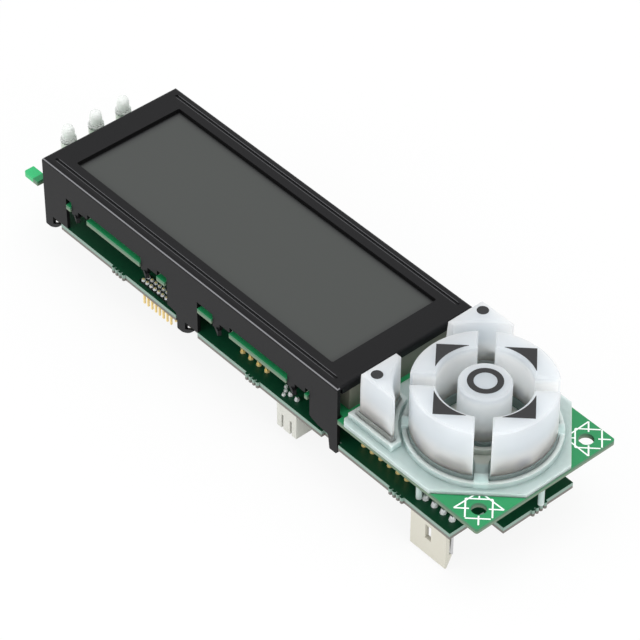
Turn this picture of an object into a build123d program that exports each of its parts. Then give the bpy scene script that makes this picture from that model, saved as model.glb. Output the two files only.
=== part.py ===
from build123d import *
from math import asin, cos, radians, sin
import os

# Graphic display module: a folded steel bezel over a liquid crystal display, on a long board that
# carries three lamps at one end and a silicone keypad at the other, with a second board hooked below.
# Millimetres. +X runs from the lamp end to the keypad end, +Y away from the connector side, +Z out of
# the display's face. The origin is midway between the two mounting holes of the keypad end, on the
# front face of the long board.

# Long upper board
board_t = 1.2
board_w = 37.6
board_corner_r = 0.6
board_past_holes = 3.9
hole_r = 1.6
hole_to_edge = 4.25
hole_spacing = board_w - 2 * hole_to_edge
slot_depth_past_bezel = 6.6

# Folded bezel
bezel_l = 95.2
bezel_inset = 0.3
bezel_w = board_w - 2 * bezel_inset
bezel_h = 7.9
bezel_to_holes = 36.7
sheet = 0.8
bend_r = 0.9
window_end_margin = 6.5
window_side_margin = 4.4
window_l = bezel_l - 2 * window_end_margin
window_w = bezel_w - 2 * window_side_margin
window_corner_r = 0.4
flange_h = 2.1
flange_slit = 0.5
bead_inset = 2.0
bead_w = 0.7
bead_depth = 0.3
bead_end_inset = 2.4

# Legs and hooks of the bezel's long walls, measured along X from the lamp end
left_leg_w = 7.8
mid_leg_w = 9.9
mid_leg_offset = -0.95
mid_hook_inset = 3.1
mid_leg_rise = 1.2
right_leg_w = 8.4
right_shoulder = 0.8
right_chamfer_w = 2.6
right_chamfer_h = 0.9
right_step = 0.4
tongue_w = 2.7
tongue_below = 1.3
tongue_chamfer = 0.4
hook_neck_w = 2.6
hook_reach = 5.4
hook_below = 1.8
hook_root_below = 0.35
hook_tip_above = 1.15
hook_tip_round = 0.15
hook_flat = 1.5
hook_belly = 0.68
hook_belly_rise = 0.37
leg_clear = 0.2
wall_gap = 1.35

# Twisted lock tabs
tab_count = 4
tab_end_gap = 1.4
tab_neck_w = 2.2
tab_head_w = 3.0
tab_head_h = 1.5
tab_neck_below = 0.2
tab_neck_in_head = 0.6
tab_twist = 25.0
tab_notch_w = 5.6
tab_notch_clear = 0.1
notch_clear = 0.4
mid_hook_notch_more = 1.1
tongue_notch_more = 2.0
hook_notch_clear = 0.1
slot_end_gap = 1.4
end_notch_reach = 1.8

# Lower board
lower_t = 1.6
board_gap = 6.0
lower_start = 0.9
lower_to_step = 3.7
lower_tongue = 5.7
lower_tongue_w = 19.0
stub_r = 0.46
stub_out = 0.15
stub_pitch = 1.1
stub_count = 4
stub_xs = (-22.0, 21.7, 65.4)

# Display stack
polariser_t = 0.2
polariser_lap = 1.5
glass_t = 0.9
glass_to_bezel = 1.85
glass_side_gap = 1.2
glass_w = bezel_w - 2 * glass_side_gap
ledge_w = 2.0
frame_floor = 1.6
frame_wall = 1.5
strip_t = 1.6
strip_to_glass = 2.25
stack_clear = 0.2
frame_end_clear = 0.1

# Lamps
lamp_r = 1.42
lamp_flange_r = 1.8
lamp_flange_t = 0.8
lamp_h = 4.3
lamp_pitch = 7.55
lamp_past_bezel = 5.0
spacer_r = 1.75
lamp_sides = 24
lamp_dome_angles = (0, 35, 62, 82)
lead_w = 0.5
lead_hole_r = 0.43
lead_pitch = 1.27
lead_tail = 0.9

# Keypad: one silicone moulding, here a mat and seven keys that travel in it
keypad_to_holes = 14.3
mat_t = 1.0
mat_overhang = 0.3
mat_near_chamfer = 13.4
mat_far_chamfer = 12.6
mat_left_chamfer = 1.0
mat_bezel_gap = 1.65
key_top = 14.7
key_bottom = 3.2
corner_key_top = 14.0
key_travel = 1.1
pill_clear = 0.1
key_clear = 0.35
ring_r_out = 14.8
ring_r_in = 9.85
ring_slot = 3.5
centre_key_r = 5.4
key_edge = 0.4
key_bevel = 45.0
collar_t = 0.9
collar_h = 1.4
pill_r = 1.6
pill_t = 0.4
pill_sides = 16
post_r = 1.8
post_sides = 12
post_root = 0.2
recess_wall = 1.1
recess_h = 1.6
bridge_l = 2.6
bridge_w = 2.9
bridge_h = 1.8
peg_r = 0.65
peg_inset = 1.3
peg_clear = 0.1
peg_sides = 12
peg_tip_gap = 0.8
corner_x = 19.0
corner_y = 16.3
corner_x_end = 8.8
corner_y_end = 7.0
corner_lean = 1.0
corner_gap_r = 18.0
corner_round = 1.4
corner_post_x = 3.6
corner_post_y = 3.2

# Pins and their solder
pin_w = 0.64
fine_pin_w = 0.4
side_pin_w = 0.5
pin_hole_r = 0.55
fine_pin_hole_r = 0.34
hole_sides = 6
solder_sides = 8
pitch = 2.54
fine_pitch = 1.27
side_pitch = 2.0
solder_r = 0.75
solder_h = 1.1
solder_slope = 12.0
side_solder_r = 0.6
side_solder_h = 0.8
spare_solder_r = 0.45
spare_solder_h = 0.5
pin_collar_r = 0.66
pin_collar_h = 0.5
pin_past_solder = 0.4
fine_pin_past_solder = 0.1
fine_solder_r = 0.5
fine_solder_h = 0.4

# Headers: places along X are from the bezel's centre unless said, places along Y from the near wall
stack_count = 6
stack_to_keypad = 18.5
stack_inset = 3.85
stack_tail = 1.3
fine_count = 8
fine_to_centre = -16.0
fine_inset = 1.8
fine_body_h = 1.0
fine_reach = 4.8
service_count = 4
service_to_centre = 14.7
service_inset = 3.3
service_reach = 3.8

# Side connector: a two-way shrouded header whose mouth faces down
side_to_bezel_end = 15.8
side_w = 6.0
side_d = 4.5
side_h = 6.8
side_inset = 0.3
side_pin_inset = 2.3
side_wall = 0.6
side_floor = 1.8
side_slot_w = 0.6
side_slot_offset = 1.3
side_slot_start = 3.0
side_spare_steps = ((-2.3, 0.8), (-1.5, 0.0), (-0.9, -1.1))
side_pin_gap = 1.4

# Lock header: four pins behind a tall friction wall
lock_count = 4
lock_to_keypad = 0.5
lock_inset = 0.1
lock_pin_inset = 3.0
lock_shift = 0.2
lock_d = 5.0
lock_h = 9.2
lock_wall = 1.0
lock_ramp = 0.7
lock_tip_t = 0.4
lock_ramp_start = 2.6
lock_ramp_end = 3.5
lock_base = 1.1
lock_slot_w = 1.7
lock_slot_depth = 4.9
lock_pin_gap = 1.2

# Chips between the boards, places from the bezel's centre
chip_side = 14.0
chip_h = 1.5
chip_off = 0.15
controller_x = 18.4
controller_y = 4.0
chip_lead_l = 1.0
chip_lead_w = 0.4
chip_lead_h = 0.6
chip_lead_pitch = 1.0
chip_lead_count = 11
driver_xs = (-27.6, 0.0, 27.4)
memory_l = 9.0
memory_w = 5.3
memory_h = 1.4
memory_xs = (-19.6, 60.4)
memory_y = 3.0
capacitor_l = 4.3
capacitor_w = 2.8
capacitor_h = 1.9
capacitor_x = 40.4
capacitor_ys = (-6.0, 2.0)

# Places worked out from the dimensions above
bezel_x0 = -bezel_to_holes - bezel_l
bezel_x1 = -bezel_to_holes
bezel_cx = (bezel_x0 + bezel_x1) / 2
wall_y = bezel_w / 2
board_x0 = bezel_x0 - slot_depth_past_bezel
board_x1 = board_past_holes
lower_top = -board_t - board_gap
lower_bottom = lower_top - lower_t
lower_x0 = bezel_x0 + lower_start
lower_x1 = -lower_to_step
lower_x2 = lower_x1 + lower_tongue
keypad_x = -keypad_to_holes
mat_w = board_w + 2 * mat_overhang
peg_ring_r = keypad_to_holes + board_past_holes - peg_inset
near_y = -wall_y
inner_y = wall_y - sheet
ceiling = bezel_h - sheet
hook_bottom = lower_bottom - hook_below
tongue_bottom = lower_bottom - tongue_below
tab_pitch = (bezel_l - tab_end_gap) / tab_count
mid_leg_x = bezel_cx + mid_leg_offset - mid_leg_w / 2
mid_hook_x = mid_leg_x + mid_hook_inset
right_leg_x = bezel_x1 - right_leg_w
glass_l = bezel_l - 2 * glass_to_bezel
strip_l = glass_l - 2 * strip_to_glass


def box_at(x0, x1, y0, y1, z0, z1, mode=Mode.ADD):
    """Add a box given by its limits to the part that is being built."""
    with BuildSketch(Plane.XY.offset(z0)) as base:
        with Locations(((x0 + x1) / 2, (y0 + y1) / 2)):
            Rectangle(x1 - x0, y1 - y0)
    extrude(base.sketch, amount=z1 - z0, mode=mode)


def finish(builder, name):
    """Label a finished piece and write it."""
    builder.part.label = name
    export_step(builder.part, f"parts/{name}.step")


os.makedirs("parts", exist_ok=True)


# Bezel
def hook_outline(x):
    """Closed outline of one hook whose neck starts at x, in the plane of the wall."""
    root = lower_bottom - hook_root_below
    tip = lower_bottom + hook_tip_above
    reach = x + hook_reach
    with BuildLine() as outline:
        Polyline(
            (reach, tip - hook_tip_round),
            (reach - hook_tip_round, tip),
            (x + hook_neck_w, root),
            (x + hook_neck_w, lower_top),
            (x, lower_top),
            (x, hook_bottom + hook_tip_round),
            (x + 2 * hook_tip_round, hook_bottom),
            (x + hook_flat, hook_bottom),
        )
        ThreePointArc(
            (x + hook_flat, hook_bottom),
            (x + hook_belly * hook_reach, hook_bottom + hook_belly_rise * (tip - hook_bottom)),
            (reach, tip - hook_tip_round),
        )
    make_face(outline.edges())


def wall_legs(side):
    """Legs of one long wall; side is -1 for the connector side and 1 for the far side."""
    leg_top = wall_gap + sheet
    with BuildSketch(Plane.XZ.offset(-side * wall_y)) as legs:
        with BuildLine():
            x = bezel_x0
            Polyline(
                (x, leg_top),
                (x + left_leg_w, leg_top),
                (x + left_leg_w, lower_top),
                (x, lower_top),
                close=True,
            )
        make_face()
        hook_outline(bezel_x0)
        with BuildLine():
            x = mid_leg_x
            Polyline(
                (x, leg_top),
                (x + mid_leg_w, leg_top),
                (x + mid_leg_w, lower_top),
                (mid_hook_x, lower_top),
                (mid_hook_x - notch_clear, lower_top + mid_leg_rise - tongue_chamfer),
                (x, lower_top + mid_leg_rise),
                close=True,
            )
        make_face()
        hook_outline(mid_hook_x)
        with BuildLine():
            x = right_leg_x
            shoulder = lower_top + right_shoulder
            Polyline(
                (x, leg_top),
                (bezel_x1, leg_top),
                (bezel_x1, tongue_bottom + tongue_chamfer),
                (bezel_x1 - tongue_chamfer, tongue_bottom),
                (bezel_x1 - tongue_w + tongue_chamfer, tongue_bottom),
                (bezel_x1 - tongue_w, shoulder - right_step),
                (bezel_x1 - tongue_w - right_step, shoulder),
                (x + right_chamfer_w, shoulder + right_step / 2),
                (x + right_step, shoulder + right_chamfer_h),
                (x, shoulder + right_chamfer_h + right_step),
                close=True,
            )
        make_face()
    extrude(legs.sketch, amount=side * sheet)


def lock_tab(x, side):
    """A tab in the board's notch at x: a wide root, a neck at its lamp end, and a head twisted below."""
    mid = side * (wall_y - sheet / 2)
    y0, y1 = mid - sheet / 2, mid + sheet / 2
    root = tab_notch_w / 2 - tab_notch_clear
    neck_x = x - root + tab_neck_w / 2
    box_at(x - root, x + root, y0, y1, 0, wall_gap + sheet)
    neck_bottom = -board_t - tab_neck_in_head
    box_at(neck_x - tab_neck_w / 2, neck_x + tab_neck_w / 2, y0, y1, neck_bottom, sheet)
    turn = radians(tab_twist * side)
    turned = (cos(turn), sin(turn), 0)
    head_top = -board_t - tab_neck_below
    with BuildSketch(Plane((neck_x, mid, head_top), x_dir=turned, z_dir=(0, 0, 1))) as head:
        Rectangle(tab_head_w, sheet)
    extrude(head.sketch, amount=tab_neck_below - tab_head_h)


tab_xs = [bezel_cx + (i - (tab_count - 1) / 2) * tab_pitch for i in range(tab_count)]

with BuildPart() as bezel:
    box_at(bezel_x0, bezel_x1, -wall_y, wall_y, 0, bezel_h)
    top_edges = bezel.faces().sort_by(Axis.Z)[-1].edges()
    fillet(top_edges, radius=bend_r)
    box_at(bezel_x0 + sheet, bezel_x1 - sheet, -inner_y, inner_y, 0, ceiling, Mode.SUBTRACT)
    with BuildSketch(Plane.XY.offset(ceiling)):
        with Locations((bezel_cx, 0)):
            RectangleRounded(window_l, window_w, window_corner_r)
    extrude(amount=sheet, mode=Mode.SUBTRACT)
    for end in (bezel_x0, bezel_x1):
        # below each end flange the bezel is open, and a slit frees the flange from the walls
        reach = 1.5 * sheet
        lo, hi = end - reach, end + reach
        box_at(lo, hi, -inner_y, inner_y, -sheet, bezel_h - flange_h, Mode.SUBTRACT)
        for side in (-1, 1):
            y0, y1 = sorted((side * (inner_y - flange_slit), side * inner_y))
            box_at(lo, hi, y0, y1, -sheet, ceiling, Mode.SUBTRACT)
    # the walls end above the board, apart from the legs and tabs
    box_at(bezel_x0 - sheet, bezel_x1 + sheet, -bezel_w, bezel_w, -sheet, wall_gap, Mode.SUBTRACT)
    for side in (-1, 1):
        with BuildSketch(Plane.XY.offset(bezel_h)):
            with Locations((bezel_cx, side * (wall_y - bead_inset))):
                SlotOverall(bezel_l - 2 * bead_end_inset, bead_w)
        extrude(amount=-bead_depth, mode=Mode.SUBTRACT)
        wall_legs(side)
        for x in tab_xs:
            lock_tab(x, side)
finish(bezel, "bezel")


# Display stack, from the window down to the board
z_front = ceiling - polariser_t
z_upper = z_front - glass_t
z_lower = z_upper - glass_t
z_rear = z_lower - polariser_t
lower_glass_w = glass_w - 2 * ledge_w
frame_w = lower_glass_w - 2 * stack_clear
guide_l = glass_l - 2 * frame_wall - 2 * stack_clear
guide_w = frame_w - 2 * frame_wall - 2 * stack_clear


def plate(length, width, z0, z1):
    """A plate centred under the bezel."""
    box_at(bezel_cx - length / 2, bezel_cx + length / 2, -width / 2, width / 2, z0, z1)


with BuildPart() as front_polariser:
    plate(window_l + 2 * polariser_lap, window_w + polariser_lap, z_front, ceiling)
finish(front_polariser, "front_polariser")

with BuildPart() as upper_glass:
    plate(glass_l, glass_w, z_upper, z_front)
finish(upper_glass, "upper_glass")

with BuildPart() as lower_glass:
    plate(glass_l, lower_glass_w, z_lower, z_upper)
finish(lower_glass, "lower_glass")

with BuildPart() as rear_polariser:
    plate(window_l + 2 * polariser_lap, window_w + polariser_lap, z_rear, z_lower)
finish(rear_polariser, "rear_polariser")

with BuildPart() as light_guide:
    plate(guide_l, guide_w, frame_floor, z_rear)
finish(light_guide, "light_guide")

with BuildPart() as backlight_frame:
    # a tray with two end blocks that stand under the bezel's end flanges
    plate(bezel_l - 2 * stack_clear, frame_w, 0, z_rear)
    block_top = bezel_h - flange_h - frame_end_clear
    for side in (-1, 1):
        end = bezel_cx + side * (bezel_l / 2 - stack_clear)
        inner = bezel_cx + side * (glass_l / 2 + stack_clear)
        lo, hi = sorted((inner, end))
        box_at(lo, hi, -frame_w / 2, frame_w / 2, z_rear, block_top)
    pocket_l = guide_l + 2 * stack_clear
    pocket_w = guide_w + 2 * stack_clear
    with BuildSketch(Plane.XY.offset(frame_floor)):
        with Locations((bezel_cx, 0)):
            Rectangle(pocket_l, pocket_w)
    extrude(amount=z_rear - frame_floor, mode=Mode.SUBTRACT)
finish(backlight_frame, "backlight_frame")

strip_y = lower_glass_w / 2 + stack_clear + strip_t / 2
strip_x0 = bezel_cx - strip_l / 2
strip_x1 = bezel_cx + strip_l / 2
for name, side in (("contact_strip_near", -1), ("contact_strip_far", 1)):
    with BuildPart() as contact_strip:
        y = side * strip_y
        box_at(strip_x0, strip_x1, y - strip_t / 2, y + strip_t / 2, 0, z_upper)
    finish(contact_strip, name)


# Upper board
key_angles = {"key_right": 0, "key_up": 90, "key_left": 180, "key_down": 270}
peg_places = [
    (keypad_x + peg_ring_r * cos(radians(a)), peg_ring_r * sin(radians(a))) for a in key_angles.values()
]
stack_places = [(keypad_x - stack_to_keypad + i * pitch, near_y + stack_inset) for i in range(stack_count)]
lamp_x = bezel_x0 - lamp_past_bezel
lamp_ys = [-lamp_pitch, 0, lamp_pitch]
lead_places = [(lamp_x, y + s * lead_pitch / 2) for y in lamp_ys for s in (-1, 1)]
notches = (
    (bezel_x0 - end_notch_reach, bezel_x0 + left_leg_w + notch_clear),
    (mid_leg_x - notch_clear, mid_leg_x + mid_leg_w + notch_clear),
    (right_leg_x - notch_clear, bezel_x1 + notch_clear),
)

with BuildPart() as upper_board:
    with BuildSketch(Plane.XY.offset(-board_t)):
        with Locations(((board_x0 + board_x1) / 2, 0)):
            RectangleRounded(board_x1 - board_x0, board_w, board_corner_r)
        notch_depth = board_w / 2 - wall_y + sheet + notch_clear
        notch_y = board_w / 2 - notch_depth / 2
        for side in (-1, 1):
            y = side * notch_y
            for x0, x1 in notches:
                with Locations(((x0 + x1) / 2, y)):
                    Rectangle(x1 - x0, notch_depth, mode=Mode.SUBTRACT)
            for x in tab_xs:
                with Locations((x, y)):
                    Rectangle(tab_notch_w, notch_depth, mode=Mode.SUBTRACT)
            # open-ended mounting slot of the lamp end and round hole of the keypad end
            slot_x = bezel_x0 - slot_end_gap - hole_r
            with Locations((board_x0, side * hole_spacing / 2)):
                Rectangle(2 * (slot_x - board_x0), 2 * hole_r, mode=Mode.SUBTRACT)
            with Locations((slot_x, side * hole_spacing / 2)):
                Circle(hole_r, mode=Mode.SUBTRACT)
            with Locations((0, side * hole_spacing / 2)):
                Circle(hole_r, mode=Mode.SUBTRACT)
        with Locations(*peg_places):
            RegularPolygon(peg_r + peg_clear, peg_sides, mode=Mode.SUBTRACT)
        with Locations(*stack_places):
            RegularPolygon(pin_hole_r, hole_sides, mode=Mode.SUBTRACT)
        with Locations(*lead_places):
            RegularPolygon(lead_hole_r, hole_sides, mode=Mode.SUBTRACT)
    extrude(amount=board_t)
finish(upper_board, "upper_board")


# Lamps on their spacers
lamp_base = bezel_h - lamp_h
for name, y in zip(("near", "middle", "far"), lamp_ys):
    with BuildPart() as lamp:
        with BuildSketch(Plane.XY.offset(lamp_base)):
            with Locations((lamp_x, y)):
                RegularPolygon(lamp_flange_r, lamp_sides)
        extrude(amount=lamp_flange_t)
        with BuildSketch(Plane.XY.offset(lamp_base + lamp_flange_t)):
            with Locations((lamp_x, y)):
                RegularPolygon(lamp_r, lamp_sides)
        extrude(amount=lamp_h - lamp_flange_t - lamp_r)
        # rings of the dome, from its foot to its crown
        for angle in lamp_dome_angles:
            with BuildSketch(Plane.XY.offset(bezel_h - lamp_r + lamp_r * sin(radians(angle)))):
                with Locations((lamp_x, y)):
                    RegularPolygon(lamp_r * cos(radians(angle)), lamp_sides)
        loft(ruled=True)
    finish(lamp, f"lamp_{name}")

    with BuildPart() as spacer:
        with BuildSketch():
            with Locations((lamp_x, y)):
                RegularPolygon(spacer_r, lamp_sides)
            with Locations((lamp_x, y - lead_pitch / 2), (lamp_x, y + lead_pitch / 2)):
                RegularPolygon(lead_hole_r, hole_sides, mode=Mode.SUBTRACT)
        extrude(amount=lamp_base)
    finish(spacer, f"lamp_spacer_{name}")

with BuildPart() as lamp_leads:
    with BuildSketch(Plane.XY.offset(-board_t - lead_tail)):
        with Locations(*lead_places):
            Rectangle(lead_w, lead_w)
    extrude(amount=board_t + lead_tail + lamp_base)
finish(lamp_leads, "lamp_leads")


# Keypad
def sector(grow=0.0):
    """A direction key in plan, pointing along +X from the keypad's centre, widened by grow."""
    half_slot = ring_slot / 2 - grow
    r_out = ring_r_out + grow
    r_in = ring_r_in - grow
    a_out = radians(45) - asin(half_slot / r_out)
    a_in = radians(45) - asin(half_slot / r_in)
    x_out, y_out = r_out * cos(a_out), r_out * sin(a_out)
    x_in, y_in = r_in * cos(a_in), r_in * sin(a_in)
    with BuildLine() as outline:
        ThreePointArc((x_out, -y_out), (r_out, 0), (x_out, y_out))
        Line((x_out, y_out), (x_in, y_in))
        ThreePointArc((x_in, y_in), (r_in, 0), (x_in, -y_in))
        Line((x_in, -y_in), (x_out, -y_out))
    make_face(outline.edges())


def corner_outline(side, grow=0.0):
    """One of the two corner keys in plan, widened all round by grow."""
    x0, x1 = keypad_x - corner_x - grow, keypad_x - corner_x_end + grow
    y0, y1 = sorted((side * (corner_y + grow), side * (corner_y_end - grow)))
    with Locations(((x0 + x1) / 2, (y0 + y1) / 2)):
        Rectangle(x1 - x0, y1 - y0)
    with Locations((keypad_x, 0)):
        Circle(corner_gap_r - grow, mode=Mode.SUBTRACT)


def key_post(x, y):
    """Post under a key that carries its contact pill."""
    with BuildSketch(Plane.XY.offset(pill_top)) as post:
        with Locations((x, y)):
            RegularPolygon(post_r, post_sides)
    extrude(post.sketch, amount=key_bottom + recess_h + post_root - pill_top)


def top_of(part):
    """The highest flat face."""
    return part.faces().filter_by(Axis.Z).sort_by(Axis.Z)[-1]


key_h = key_top - key_bottom
pill_bottom = key_travel + pill_clear
pill_top = pill_bottom + pill_t
post_ring = (ring_r_in + ring_r_out) / 2
key_posts = {"key_centre": (keypad_x, 0)}

with BuildPart() as key_centre:
    with BuildSketch(Plane.XY.offset(key_bottom)):
        with Locations((keypad_x, 0)):
            Circle(centre_key_r)
    extrude(amount=key_h)
    chamfer(top_of(key_centre).edges(), length=key_edge)
    with BuildSketch(Plane.XY.offset(key_bottom)):
        with Locations((keypad_x, 0)):
            Circle(centre_key_r - recess_wall)
    extrude(amount=recess_h, mode=Mode.SUBTRACT)
    key_post(keypad_x, 0)
finish(key_centre, "key_centre")

# one direction key about the keypad's centre, turned into place for each of the four
with BuildPart() as arc_key:
    with BuildSketch(Plane.XY.offset(key_bottom)):
        sector()
    extrude(amount=key_h)
    chamfer(top_of(arc_key).edges(), length=key_edge)
    with BuildSketch(Plane.XY.offset(key_bottom)):
        sector(-recess_wall)
    extrude(amount=recess_h, mode=Mode.SUBTRACT)
    key_post(post_ring, 0)

with BuildPart() as arc_opening:
    with BuildSketch():
        sector(key_clear)
    extrude(amount=bezel_h)

for name, angle in key_angles.items():
    key_posts[name] = (keypad_x + post_ring * cos(radians(angle)), post_ring * sin(radians(angle)))
    with BuildPart() as direction_key:
        with Locations((keypad_x, 0, 0)):
            add(arc_key.part, rotation=(0, 0, angle))
    finish(direction_key, name)

for name, side in (("key_corner_near", -1), ("key_corner_far", 1)):
    px = keypad_x - corner_x + corner_post_x
    py = side * (corner_y - corner_post_y)
    key_posts[name] = (px, py)
    with BuildPart() as corner_key:
        with BuildSketch(Plane.XY.offset(key_bottom)) as corner_plan:
            corner_outline(side)
            outer = max(corner_plan.vertices(), key=lambda v: side * v.Y - v.X)
            fillet(outer, radius=corner_round)
        extrude(amount=corner_key_top - key_edge - key_bottom)
        # the face towards the bezel leans back from its foot
        with BuildSketch(Plane.XZ):
            with BuildLine():
                x = keypad_x - corner_x
                Polyline(
                    (x, key_bottom),
                    (x + corner_lean, corner_key_top),
                    (x - corner_lean, corner_key_top),
                    (x - corner_lean, key_bottom),
                    close=True,
                )
            make_face()
        extrude(amount=2 * bezel_w, both=True, mode=Mode.SUBTRACT)
        extrude(top_of(corner_key), amount=key_edge, taper=key_bevel)
        with BuildSketch(Plane.XY.offset(key_bottom)):
            corner_outline(side, -recess_wall)
        extrude(amount=recess_h, mode=Mode.SUBTRACT)
        key_post(px, py)
    finish(corner_key, name)

for name, (px, py) in key_posts.items():
    with BuildPart() as pill:
        with BuildSketch(Plane.XY.offset(pill_bottom)):
            with Locations((px, py)):
                RegularPolygon(pill_r, pill_sides)
        extrude(amount=pill_t)
    finish(pill, name.replace("key", "contact_pill"))

with BuildPart() as keypad_mat:
    mat_x0 = bezel_x1 + mat_bezel_gap
    mat_x1 = board_x1
    half = mat_w / 2
    with BuildSketch():
        with BuildLine():
            Polyline(
                (mat_x0, -half + mat_left_chamfer),
                (mat_x0 + mat_left_chamfer, -half),
                (mat_x1 - mat_near_chamfer, -half),
                (mat_x1, -half + mat_near_chamfer),
                (mat_x1, half - mat_far_chamfer),
                (mat_x1 - mat_far_chamfer, half),
                (mat_x0 + mat_left_chamfer, half),
                (mat_x0, half - mat_left_chamfer),
                close=True,
            )
        make_face()
    extrude(amount=mat_t)
    # low collars where the webs of the keys spring from the mat
    with BuildSketch(Plane.XY.offset(mat_t)):
        with Locations((keypad_x, 0)):
            for r in (ring_r_out + key_clear, centre_key_r + key_clear):
                Circle(r + collar_t)
                Circle(r, mode=Mode.SUBTRACT)
    extrude(amount=collar_h)
    for side in (-1, 1):
        with BuildSketch():
            corner_outline(side, key_clear + collar_t)
        extrude(amount=mat_t + collar_h)
    # bridges at the outer ends of the slots between the direction keys
    with BuildSketch():
        with Locations((keypad_x, 0)):
            with PolarLocations(ring_r_out, 4, start_angle=45):
                Rectangle(bridge_l, bridge_w)
    extrude(amount=mat_t + bridge_h)
    # openings for the keys
    with Locations((keypad_x, 0, 0)):
        for angle in key_angles.values():
            add(arc_opening.part, rotation=(0, 0, angle), mode=Mode.SUBTRACT)
    with BuildSketch():
        with Locations((keypad_x, 0)):
            Circle(centre_key_r + key_clear)
    extrude(amount=bezel_h, mode=Mode.SUBTRACT)
    for side in (-1, 1):
        with BuildSketch():
            corner_outline(side, key_clear)
        extrude(amount=bezel_h, mode=Mode.SUBTRACT)
    with BuildSketch(Plane.XY.offset(lower_top + peg_tip_gap)):
        with Locations(*peg_places):
            RegularPolygon(peg_r, peg_sides)
    extrude(amount=mat_t - lower_top - peg_tip_gap)
finish(keypad_mat, "keypad_mat")


# Lower board
lock_places = [(keypad_x + lock_to_keypad + i * pitch, near_y + lock_pin_inset) for i in range(lock_count)]
fine_x0 = bezel_cx + fine_to_centre
fine_rows = (near_y + fine_inset, near_y + fine_inset + fine_pitch)
fine_places = [(fine_x0 + i * fine_pitch, y) for i in range(fine_count) for y in fine_rows]
service_x0 = bezel_cx + service_to_centre
service_places = [(service_x0 + i * pitch, near_y + service_inset) for i in range(service_count)]
side_cx = bezel_x1 - side_to_bezel_end
side_places = [(side_cx + s * side_pitch / 2, near_y + side_pin_inset) for s in (-1, 1)]
stub_offsets = [(i - (stub_count - 1) / 2) * stub_pitch for i in range(stub_count)]

with BuildPart() as lower_board:
    with BuildSketch(Plane.XY.offset(lower_bottom)):
        with Locations(((lower_x0 + lower_x1) / 2, 0)):
            Rectangle(lower_x1 - lower_x0, bezel_w)
        with Locations((lower_x1, 0)):
            Rectangle(2 * lower_tongue, lower_tongue_w)
        depth = sheet + hook_notch_clear
        for side in (-1, 1):
            y = side * (wall_y - depth / 2)
            for x0, x1 in (
                (lower_x0, bezel_x0 + hook_reach + leg_clear),
                (mid_hook_x - notch_clear, mid_hook_x + hook_reach + leg_clear + mid_hook_notch_more),
                (bezel_x1 - tongue_w - tongue_notch_more, bezel_x1 + notch_clear),
            ):
                with Locations(((x0 + x1) / 2, y)):
                    Rectangle(x1 - x0, depth, mode=Mode.SUBTRACT)
            # rough stubs where the board was broken out of its panel
            for x in stub_xs:
                with Locations(*[(bezel_cx + x + dx, side * (wall_y + stub_out)) for dx in stub_offsets]):
                    RegularPolygon(stub_r, hole_sides)
        with Locations(*[(lower_x2 + stub_out, dy) for dy in stub_offsets]):
            RegularPolygon(stub_r, hole_sides)
        with Locations(*lock_places, *stack_places, *service_places, *side_places):
            RegularPolygon(pin_hole_r, hole_sides, mode=Mode.SUBTRACT)
        with Locations(*fine_places):
            RegularPolygon(fine_pin_hole_r, hole_sides, mode=Mode.SUBTRACT)
    extrude(amount=lower_t)
finish(lower_board, "lower_board")


# Pin headers
def pins(places, width, z0, z1):
    """Square pins at the given places."""
    with BuildSketch(Plane.XY.offset(z0)) as feet:
        with Locations(*places):
            Rectangle(width, width)
    extrude(feet.sketch, amount=z1 - z0)


def pin_collars(places):
    """Bright pads with a low fillet where pins go through the lower board."""
    with BuildSketch(Plane.XY.offset(lower_top)) as feet:
        with Locations(*places):
            RegularPolygon(pin_collar_r, solder_sides)
    extrude(feet.sketch, amount=pin_collar_h, taper=solder_slope)


def header_body(places, step, z0, z1, width):
    """Moulded bar with a square hole round each pin."""
    xs = [x for x, y in places]
    ys = [y for x, y in places]
    with BuildSketch(Plane.XY.offset(z0)) as bar:
        with Locations(((min(xs) + max(xs)) / 2, (min(ys) + max(ys)) / 2)):
            Rectangle(max(xs) - min(xs) + step, max(ys) - min(ys) + step)
        with Locations(*places):
            Rectangle(width, width, mode=Mode.SUBTRACT)
    extrude(bar.sketch, amount=z1 - z0)


with BuildPart() as stack_header:
    header_body(stack_places, pitch, -board_t - pitch, -board_t, pin_w)
finish(stack_header, "stack_header_body")

with BuildPart() as stack_pins:
    pins(stack_places, pin_w, lower_bottom - stack_tail, 0)
    pin_collars(stack_places)
finish(stack_pins, "stack_header_pins")

with BuildPart() as fine_header:
    header_body(fine_places, fine_pitch, lower_bottom - fine_body_h, lower_bottom, fine_pin_w)
finish(fine_header, "fine_header_body")

with BuildPart() as fine_pins:
    pins(fine_places, fine_pin_w, lower_bottom - fine_reach, lower_top + fine_solder_h + fine_pin_past_solder)
finish(fine_pins, "fine_header_pins")

with BuildPart() as service_header:
    header_body(service_places, pitch, lower_bottom - pitch, lower_bottom, pin_w)
finish(service_header, "service_header_body")

with BuildPart() as service_pins:
    pins(service_places, pin_w, lower_bottom - service_reach, lower_top + solder_h)
    pin_collars(service_places)
finish(service_pins, "service_header_pins")


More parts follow.
